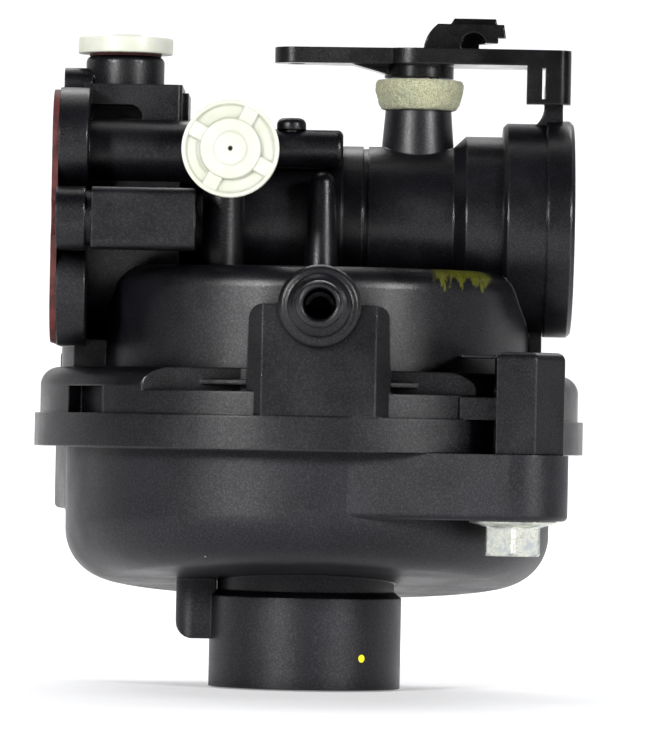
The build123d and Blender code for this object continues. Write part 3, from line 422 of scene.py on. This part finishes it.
def open_cell_foam(s):
    """Open-cell foam: two sizes of cells in the bump, painted shade in their bottoms, tired patches."""
    r = Recipe("open_cell_foam")
    cells = r.node("ShaderNodeTexVoronoi", {"Vector": r.place, "Scale": 1 / s.cell}).outputs["Distance"]
    small = r.node("ShaderNodeTexVoronoi", {"Vector": r.place, "Scale": 2.3 / s.cell}).outputs["Distance"]
    depth = r.math("ADD", r.math("MULTIPLY", cells, 0.65), r.math("MULTIPLY", small, 0.35))
    patch = r.noise(0.003, 3.0)
    base = r.mix(r.ranged(patch, 0.35, 0.7), tuple(s.colour), (0.38, 0.40, 0.28))
    base = r.mix(r.ranged(depth, 0.16, 0.38, 0.0, 1.0), (0.60, 0.60, 0.45), base)
    # Painted shade: darker in the deep parts of the cells.
    base = r.mix(r.ranged(depth, 0.44, 0.66, 0.0, 0.60), base, (0.14, 0.14, 0.07))
    normal = r.bump(depth, s.cell * 0.55, 1.0)
    r.shader.inputs["Sheen Weight"].default_value = 0.25
    return r.finish(Base_Color=base, Roughness=0.95, Normal=normal, Specular_IOR_Level=0.15)


def zinc_plate(s):
    """Bright zinc plating: cloudy, scuffed, paler on its edges."""
    r = Recipe("zinc_plate")
    soft, edge = r.edges(0.0003)
    cloud = r.noise(0.0018, 4.0, 0.65)
    scuff = r.noise(0.0006, 3.0, 0.7, vector=r.moved(scale=(1, 1, 5)))
    base = r.mix(r.ranged(cloud, 0.4, 0.65), tuple(s.zinc), (0.38, 0.41, 0.42))
    base = r.mix(r.math("MULTIPLY", edge, 0.7), base, (0.95, 0.96, 0.88))
    rough = r.math("ADD", r.ranged(cloud, 0.3, 0.7, 0.22, 0.42), r.ranged(scuff, 0.5, 0.75, 0.0, 0.15))
    normal = r.bump(scuff, 0.00002, 0.7, soft)
    return r.finish(Base_Color=base, Metallic=1.0, Roughness=rough, Normal=normal)


def turned_metal(name, colour, axis_scale, low, high):
    """Turned or ground metal: tool marks stretched round the axis, dull patches."""
    r = Recipe(name)
    marks_ = r.noise(0.0004, 2.0, 0.6, vector=r.moved(scale=axis_scale))
    dull = r.noise(0.003, 3.0)
    base = r.mix(r.ranged(dull, 0.4, 0.7), tuple(colour), tuple(c * 0.55 for c in colour))
    rough = r.math("ADD", r.ranged(dull, 0.3, 0.7, low, high), r.ranged(marks_, 0.4, 0.7, 0.0, 0.08))
    return r.finish(Base_Color=base, Metallic=1.0, Roughness=rough, Normal=r.bump(marks_, 0.00001, 0.6))


def matte_rubber(name, colour, other, fine):
    """Rubber: matte, slightly mottled, dusty, with a fine skin."""
    r = Recipe(name)
    mottle = r.noise(0.0022, 4.0, 0.6)
    skin = r.noise(fine, 3.0, 0.6)
    base = r.mix(r.ranged(mottle, 0.38, 0.7), tuple(colour), other)
    base = r.mix(r.ranged(skin, 0.62, 0.8, 0.0, 0.25), base, tuple(min(1, c * 2.2 + 0.02) for c in colour))
    rough = r.ranged(mottle, 0.3, 0.7, 0.55, 0.75)
    return r.finish(Base_Color=base, Roughness=rough, Normal=r.bump(skin, fine * 0.12, 0.8),
                    Specular_IOR_Level=0.35)


def dress(material, *nodes):
    """Gives CAD nodes a finish, in every slot of their meshes."""
    for name in nodes:
        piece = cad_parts[name]
        if not piece.material_slots:
            piece.data.materials.append(material)
        for slot_ in piece.material_slots:
            slot_.material = material


def settle(piece, material, slot_name, body, *nodes):
    """Finishes a new piece: material, the body it rides on, the nodes it stands for; slot_name is not used.
    """
    piece.data.materials.append(material)
    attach(piece, body)
    if nodes:
        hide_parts(*nodes)
    return piece


# ------------------------------------------------------------------ operators

class CARB_OT_mouldings(bpy.types.Operator):
    """Finish the moulded plastic body, bowl, lever and float"""
    bl_idname = "carb.mouldings"
    bl_label = "Mouldings"

    def execute(self, context):
        s = context.scene.carb_plastic
        paint = brushed_paint((-0.0167, -0.0245, -0.0088), 0.0050, 0.0014)
        dot = paint_dot((-0.0306, -0.0117, -0.0652), 0.00058)
        dress(moulded_plastic("body_plastic", s.body, s, s.gloss, marks=(paint,)),
              "carburetor_body", "idle_rail_plug")
        dress(moulded_plastic("bowl_plastic", s.bowl, s, s.gloss + 0.07, marks=(dot,)), "bowl")
        dress(moulded_plastic("lever_plastic", s.lever, s, 0.19, bloom=0.2, texture=0.3), "throttle_lever")
        dress(moulded_plastic("float_plastic", (0.02, 0.02, 0.018), s, 0.6, bloom=0.5), "float")
        return {"FINISHED"}


class CARB_OT_jet_plugs(bpy.types.Operator):
    """Make the two ivory jet plugs with their spoked heads"""
    bl_idname = "carb.jet_plugs"
    bl_label = "Jet plugs"

    def head(self, s, name, face, axis, up, stem_end):
        """Turned profile: pinhole, button, hub, well, lip, side, back, then the stem with its
        ring groove. Between hub and lip the height follows the spokes: wells elsewhere."""
        k = MM
        disc_t, stem_r, groove_r = 2.5 * k, 3.1 * k, 2.3 * k
        groove_top, groove_foot = -disc_t - 4.3 * k, -disc_t - 6.1 * k
        mark_depth, button_h, lip_drop = 1.2 * k, 0.5 * k, 0.1 * k
        flare, chamfer, corner_round = 0.25 * k, 0.8 * k, 0.28 * k
        row_gap, columns = 0.45 * k, 240
        corners = [
            (0, -mark_depth), (s.pinhole, -mark_depth), (s.pinhole, button_h), (s.button_top_r, button_h),
            (s.button_r, 0.0), (s.hub_r, 0.0), (s.hub_r + flare, -s.well),
            (s.disc_r - s.lip - flare, -s.well * 0.8), (s.disc_r - s.lip, -lip_drop),
            (s.disc_r, -lip_drop), (s.disc_r, -disc_t), (stem_r, -disc_t), (stem_r, groove_top),
            (groove_r, groove_top), (groove_r, groove_foot), (stem_r, groove_foot),
            (stem_r, -stem_end + chamfer), (stem_r - chamfer, -stem_end), (0, -stem_end),
        ]
        profile = softened(corners, corner_round, 6)
        stretch = [profile[:1]]
        for a, b in zip(profile, profile[1:]):
            count = max(1, int(np.ceil(np.linalg.norm(b - a) / row_gap)))
            stretch.append(a + (b - a) * (np.arange(1, count + 1) / count)[:, None])
        profile = np.concatenate(stretch)
        angle = np.arange(columns) / columns * TURN
        r = np.repeat(profile[:, :1], columns, 1)
        h = np.repeat(profile[:, 1:], columns, 1)
        pitch = TURN / s.spokes
        off = np.abs((angle - s.first_spoke + pitch / 2) % pitch - pitch / 2)[None, :] * r
        blend, spoke_drop = 0.15 * k, 0.35 * k
        on_spoke = 1 - step(off, s.spoke / 2 - blend, s.spoke / 2 + blend)
        between = (r > s.hub_r - 0.4 * k) & (r < s.disc_r - s.lip + 0.3 * k) & (h > -disc_t * 0.6)
        floor = -spoke_drop * on_spoke - s.well * 1.2 * (1 - on_spoke)
        h = np.where(between, np.maximum(h, floor), h)
        points = placed(r, h, np.repeat(angle[None, :], len(profile), 0), face, axis, up)
        return grid_piece(name, points)

    def execute(self, context):
        s = context.scene.carb_plug
        nylon = ivory_nylon(s)
        low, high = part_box("front_jet_plug")
        proud = 0.5 * MM
        centre = ((low[0] + high[0]) / 2, low[1] + proud, (low[2] + high[2]) / 2)
        front = self.head(s, "front_plug_moulding", centre, (0, -1, 0), (1, 0, 0), high[1] - low[1] - proud)
        settle(front, nylon, "white_nylon", "main", "front_jet_plug")
        low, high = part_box("top_jet_plug")
        centre = ((low[0] + high[0]) / 2, (low[1] + high[1]) / 2, high[2] - proud)
        top = self.head(s, "top_plug_moulding", centre, (0, 0, 1), (1, 0, 0), high[2] - low[2] - proud)
        settle(top, nylon, "white_nylon", "main", "top_jet_plug")
        return {"FINISHED"}


class CARB_OT_foam_washer(bpy.types.Operator):
    """Make the open-cell foam washer under the lever"""
    bl_idname = "carb.foam_washer"
    bl_label = "Foam washer"

    def execute(self, context):
        """Closed ring: the section is a tapered rounded rectangle, swollen outwards, and every
        point wanders along its radius and height by smooth noise of two sizes."""
        s = context.scene.carb_foam
        low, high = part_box("shaft_foam_seal")
        axis_x, axis_y = (low[0] + high[0]) / 2, (low[1] + high[1]) / 2
        top_r = (high[0] - low[0]) / 2 - 0.1 * MM
        foot_r, hole_r = top_r - 1.0 * MM, 3.5 * MM
        z0, z1 = low[2] + 0.1 * MM, high[2] - 0.12 * MM
        corners = [(hole_r, (z0 + z1) / 2), (hole_r, z1), (top_r - 0.3 * MM, z1), (top_r, z1 - 1.2 * MM),
                   (foot_r + 0.25 * MM, z0 + 0.6 * MM), (foot_r - 0.3 * MM, z0), (hole_r, z0),
                   (hole_r, (z0 + z1) / 2)]
        path = softened(corners, 0.6 * MM, 6)
        run = np.concatenate([[0], np.cumsum(np.linalg.norm(np.diff(path, axis=0), axis=1))])
        at = np.linspace(0, run[-1], 97)[:-1]
        r = np.interp(at, run, path[:, 0])[:, None]
        z = np.interp(at, run, path[:, 1])[:, None]
        rows, columns = 96, 300
        wander = 0.55 * lattice(3, rows, columns, 24, 90) + 0.45 * lattice(4, rows, columns, 48, 150)
        outer = step(r, hole_r, hole_r + 2 * MM)
        angle = np.repeat(np.arange(columns)[None, :] / columns * TURN, rows, 0)
        slump = 0.12 * MM * np.sin(angle + 0.7) + 0.07 * MM * np.sin(3 * angle)
        radius = r + outer * (wander * s.rough + slump)
        height = z + 0.35 * s.rough * lattice(5, rows, columns, 32, 110) * outer
        height = np.clip(height, z0 - 0.05 * MM, z1 + 0.05 * MM)
        points = placed(radius, height, angle, (axis_x, axis_y, 0), (0, 0, 1), (1, 0, 0))
        foam = grid_piece("foam_washer", points, wrap_rows=True)
        settle(foam, open_cell_foam(s), "foam", "main", "shaft_foam_seal")
        return {"FINISHED"}


class CARB_OT_bowl_screws(bpy.types.Operator):
    """Make the two hex washer-head screws of the bowl"""
    bl_idname = "carb.bowl_screws"
    bl_label = "Bowl screws"

    head_h = 4.3 * MM
    flange_h = 0.9 * MM

    def screw(self, s, x, y, seat, top):
        """Rows run from the head's end up to the shank's: the hexagon is the least of its six
        flats and a chamfer cone, the flange is a shallow cone, and the thread is a groove
        whose depth follows the angle and height together."""
        k = MM
        half = s.flats / 2
        rows_in, rows_shank, columns = 6, 150, 180
        rim, corner_round = half * 0.955, half * 1.135
        end = seat - self.flange_h - self.head_h
        flange_z = self.head_h + np.array([-0.05, 0.2, 0.6, 0.75, 0.9]) * k
        flange_r = [half * 1.04, half * 1.25, s.flange_r - 0.1 * k, s.flange_r, s.flange_r - 0.1 * k]
        heights = np.concatenate([
            np.zeros(1 + rows_in), np.linspace(0.0, 1.0 * k, 10),
            np.linspace(1.1 * k, self.head_h - 0.1 * k, 12), flange_z, flange_z[-1:],
            np.linspace(flange_z[-1] + 0.02 * k, top - end - 0.5 * k, rows_shank), np.full(2, top - end)])
        angle = np.arange(columns) / columns * TURN
        fold = (angle + TURN / 12) % (TURN / 6) - TURN / 12
        flat = np.minimum(half / np.cos(fold), corner_round)
        h = np.repeat(heights[:, None], columns, 1)
        r = np.where(h < self.head_h, np.minimum(flat[None, :], rim + h * 1.9), 0)
        r = np.where(h >= self.head_h - 0.06 * k, np.maximum(np.interp(h, flange_z, flange_r), r), r)
        phase = (h / s.pitch - angle[None, :] / TURN) % 1
        groove = 0.42 * k * (1 - np.abs(2 * phase - 1))
        shank = s.shank_r - groove * step(h, self.head_h + 1.6 * k, self.head_h + 2.6 * k)
        r = np.where(h > flange_z[-1] + 0.01 * k, shank, r)
        r[0] = 0
        r[1:1 + rows_in] = np.linspace(half * 0.15, rim, rows_in)[:, None]
        h[:1 + rows_in] += 0.18 * k * (1 - step(r[:1 + rows_in], 0, half * 0.8))
        r[-2] = s.shank_r - 0.7 * k
        r[-1] = 0
        turned = np.repeat(angle[None, :], len(heights), 0)
        points = placed(r, h, turned, (x, y, end), (0, 0, 1), (1, 0, 0))
        return grid_piece("screw", points)

    def execute(self, context):
        s = context.scene.carb_metal
        low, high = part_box("bowl_screws")
        seat = low[2] + self.head_h + self.flange_h
        reach = 6.5 * MM
        near = self.screw(s, high[0] - reach, low[1] + reach, seat, high[2])
        far = self.screw(s, low[0] + reach, high[1] - reach, seat, high[2])
        pair = merged("zinc_bowl_screws", [near, far])
        settle(pair, zinc_plate(s), "zinc_steel", "main", "bowl_screws")
        return {"FINISHED"}


class CARB_OT_fuel_nipple(bpy.types.Operator):
    """Make the fuel nipple with its flared foot and collar"""
    bl_idname = "carb.fuel_nipple"
    bl_label = "Fuel nipple"

    def execute(self, context):
        """Turned profile: collar's back, spigot, bore, tip, land, neck, flared foot, collar."""
        s = context.scene.carb_nipple
        k = MM
        low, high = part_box("fuel_inlet_fitting")
        tip = high[1] - low[1]
        cx, cz = (low[0] + high[0]) / 2, (low[2] + high[2]) / 2
        spigot, spigot_r, columns = 5.0 * k, 3.75 * k, 144
        collar_top, land_foot = spigot + 2.1 * k, tip - 5.0 * k
        corners = [
            (s.bore_r, tip * 0.5), (s.bore_r, tip - 0.4 * k), (s.bore_r + 0.35 * k, tip),
            (s.land_r - 0.5 * k, tip), (s.land_r, tip - 0.6 * k), (s.land_r, land_foot),
            (s.neck_r, land_foot - 1.0 * k), (s.neck_r, collar_top + 1.5 * k),
            (s.foot_r - 0.4 * k, collar_top + 0.8 * k), (s.foot_r, collar_top),
            (s.collar_r - 0.5 * k, collar_top), (s.collar_r, collar_top - 0.7 * k), (s.collar_r, spigot),
            (spigot_r, spigot), (spigot_r, 0.3 * k), (3.4 * k, 0.0), (s.bore_r, 0.0), (s.bore_r, tip * 0.5),
        ]
        profile = softened(corners, 0.5 * k, 6)[:-1]
        angle = np.arange(columns) / columns * TURN
        r = np.repeat(profile[:, :1], columns, 1)
        h = np.repeat(profile[:, 1:], columns, 1)
        turned = np.repeat(angle[None, :], len(profile), 0)
        points = placed(r, h, turned, (cx, high[1], cz), (0, -1, 0), (1, 0, 0))
        nipple = grid_piece("fuel_nipple", points, wrap_rows=True)
        plastic = context.scene.carb_plastic
        settle(nipple, moulded_plastic("nipple_plastic", plastic.body, plastic, plastic.gloss - 0.04),
               "body_plastic", "main", "fuel_inlet_fitting")
        return {"FINISHED"}


class CARB_OT_rubber_parts(bpy.types.Operator):
    """Finish the flange seal, O-rings, washers and gasket"""
    bl_idname = "carb.rubber_parts"
    bl_label = "Rubber parts"

    def execute(self, context):
        s = context.scene.carb_rubber
        red = matte_rubber("red_silicone", s.seal, (0.045, 0.008, 0.008), 0.0003)
        black = matte_rubber("black_rubber", s.black, (0.02, 0.02, 0.02), 0.0003)
        dress(red, "inlet_flange_seal", "front_plug_washer", "top_plug_washer")
        dress(black, "engine_side_oring", "front_plug_oring", "top_plug_oring", "bowl_gasket")
        return {"FINISHED"}


class CARB_OT_metal_parts(bpy.types.Operator):
    """Finish the shaft, plate, jets, valve and pins"""
    bl_idname = "carb.metal_parts"
    bl_label = "Metal parts"

    def execute(self, context):
        s = context.scene.carb_metal
        dress(turned_metal("ground_steel", s.steel, (0.2, 0.2, 3.0), 0.22, 0.38), "throttle_shaft",
              "inlet_needle")
        dress(turned_metal("pin_steel", s.steel, (3.0, 0.2, 0.2), 0.25, 0.40), "float_hinge_pin",
              "throttle_plate_screw")
        dress(turned_metal("turned_brass", s.brass, (0.2, 0.2, 3.0), 0.24, 0.42), "main_nozzle", "main_jet",
              "needle_seat")
        dress(turned_metal("plate_brass", s.brass, (1.0, 1.0, 0.15), 0.28, 0.45), "throttle_plate")
        return {"FINISHED"}


class CARB_OT_stage(bpy.types.Operator):
    """Set up the floor, the lights and the camera"""
    bl_idname = "carb.stage"
    bl_label = "Stage"

    aim = (-0.037, 0.0, -0.02)
    target = (-0.0357, 0.0, -0.0221)

    def sweep(self, s):
        """Floor that runs back and curves up far behind: a straight, a quarter circle, a straight."""
        rise = np.linspace(0, math.pi / 2, 24)
        radius, back = 1.2, 2.2
        y = np.concatenate([[-3.0], back + radius * np.sin(rise), [back + radius]])
        z = np.concatenate([[0.0], radius - radius * np.cos(rise), [radius + 2.0]]) + cad_low[2] - 0.0002
        x = np.array([-4.0, 4.0])
        points = np.stack([np.repeat(x[None, :], len(y), 0), np.repeat(y[:, None], 2, 1),
                           np.repeat(z[:, None], 2, 1)], -1)
        floor = grid_piece("floor_sweep", points[::-1], wrap_columns=False)
        r = Recipe("pale_floor")
        tone = r.mix(r.ranged(r.noise(0.6), 0.3, 0.7), tuple(s.floor), tuple(c * 0.985 for c in s.floor))
        floor.data.materials.append(r.finish(Base_Color=tone, Roughness=0.8, Specular_IOR_Level=0.2,
                                             Emission_Color=tone, Emission_Strength=s.floor_glow))

    def softbox(self, name, place, target, size, power):
        light = bpy.data.lights.new(name, "AREA")
        light.shape, light.size, light.size_y = "RECTANGLE", size[0], size[1]
        light.energy = power
        lamp = bpy.data.objects.new(name, light)
        lamp.location = place
        lamp.rotation_euler = (Vector(target) - Vector(place)).to_track_quat("-Z", "Y").to_euler()
        bpy.context.scene.collection.objects.link(lamp)

    def around(self, azimuth, elevation, far):
        a, e = math.radians(azimuth), math.radians(elevation)
        return (self.aim[0] + far * math.cos(e) * math.sin(a), -far * math.cos(e) * math.cos(a),
                self.aim[2] + far * math.sin(e))

    def fade(self, tree, value, limits):
        """Eased change of a world value: from low and high, to low and high."""
        made = tree.nodes.new("ShaderNodeMapRange")
        made.interpolation_type = "SMOOTHSTEP"
        tree.links.new(value, made.inputs["Value"])
        for key, limit in zip(("From Min", "From Max", "To Min", "To Max"), limits):
            made.inputs[key].default_value = limit
        return made.outputs[0]

    def world(self, s):
        """Bright behind and at the sides, dim on the camera's side; plain backdrop to the camera."""
        world = bpy.data.worlds.new("studio")
        bpy.context.scene.world = world
        world.use_nodes = True
        tree = world.node_tree
        back = tree.nodes["Background"]
        place = tree.nodes.new("ShaderNodeTexCoord")
        parts = tree.nodes.new("ShaderNodeSeparateXYZ")
        tree.links.new(place.outputs["Generated"], parts.inputs[0])
        backward = self.fade(tree, parts.outputs[1], (-0.10, 0.60, 0.012, 1.0))
        upward = self.fade(tree, parts.outputs[2], (0.15, 0.75, 1.0, 0.15))
        both = tree.nodes.new("ShaderNodeMath")
        both.operation = "MULTIPLY"
        tree.links.new(backward, both.inputs[0])
        tree.links.new(upward, both.inputs[1])
        tree.links.new(both.outputs[0], back.inputs["Strength"])
        back.inputs["Color"].default_value = (0.97, 0.98, 1.0, 1)
        plain = tree.nodes.new("ShaderNodeBackground")
        plain.inputs["Color"].default_value = (*s.backdrop, 1)
        seen = tree.nodes.new("ShaderNodeLightPath")
        mix = tree.nodes.new("ShaderNodeMixShader")
        tree.links.new(seen.outputs["Is Camera Ray"], mix.inputs[0])
        tree.links.new(back.outputs[0], mix.inputs[1])
        tree.links.new(plain.outputs[0], mix.inputs[2])
        tree.links.new(mix.outputs[0], tree.nodes["World Output"].inputs["Surface"])

    def execute(self, context):
        s = context.scene.carb_stage
        self.sweep(s)
        self.world(s)
        self.softbox("lamp_left", self.around(-32, 16, 1.5), self.aim, (0.20, 0.28), 20)
        self.softbox("lamp_right", self.around(42, 16, 1.5), self.aim, (0.18, 0.28), 15)
        self.softbox("front_fill", self.around(3, 13, 1.7), self.aim, (1.0, 0.5), 0.2)
        self.softbox("overhead", (-0.3, 0.3, 1.6), self.aim, (0.8, 0.6), 3)
        self.softbox("back_wash", (0.0, 1.5, 1.6), (0, 1.6, -0.07), (2.6, 1.0), 45)
        camera = bpy.data.objects.new("camera", bpy.data.cameras.new("camera"))
        camera.data.lens = s.lens
        camera.data.clip_end = 50
        target = Vector(self.target)
        camera.location = target + Vector((0, -s.far * math.cos(s.rise), s.far * math.sin(s.rise)))
        aim_turn = (target - camera.location).to_track_quat("-Z", "Y")
        camera.rotation_euler = aim_turn.to_euler()
        camera.rotation_euler.rotate_axis("Z", s.roll)
        context.scene.collection.objects.link(camera)
        context.scene.camera = camera
        context.scene.view_settings.view_transform = "Standard"
        return {"FINISHED"}


OPERATORS = [CARB_OT_stage, CARB_OT_mouldings, CARB_OT_jet_plugs, CARB_OT_foam_washer, CARB_OT_bowl_screws,
             CARB_OT_fuel_nipple, CARB_OT_rubber_parts, CARB_OT_metal_parts]


class CARB_PT_panel(bpy.types.Panel):
    """Pieces and finishes of the carburetor"""
    bl_idname = "CARB_PT_panel"
    bl_label = "Carburetor"
    bl_space_type = "VIEW_3D"
    bl_region_type = "UI"
    bl_category = "Carburetor"

    def draw(self, context):
        for operator in OPERATORS:
            self.layout.operator(operator.bl_idname)
        for name in GROUPS:
            box = self.layout.box()
            settings = getattr(context.scene, name)
            for key in settings.__annotations__:
                box.prop(settings, key)


CLASSES = [*GROUPS.values(), *OPERATORS, CARB_PT_panel]


def register():
    for cls in CLASSES:
        bpy.utils.register_class(cls)
    for name, group in GROUPS.items():
        setattr(bpy.types.Scene, name, PointerProperty(type=group))


def unregister():
    for name in GROUPS:
        delattr(bpy.types.Scene, name)
    for cls in reversed(CLASSES):
        bpy.utils.unregister_class(cls)


def main():
    register()
    for operator in OPERATORS:
        area, action = operator.bl_idname.split(".")
        getattr(getattr(bpy.ops, area), action)()


if __name__ == "__main__":
    main()
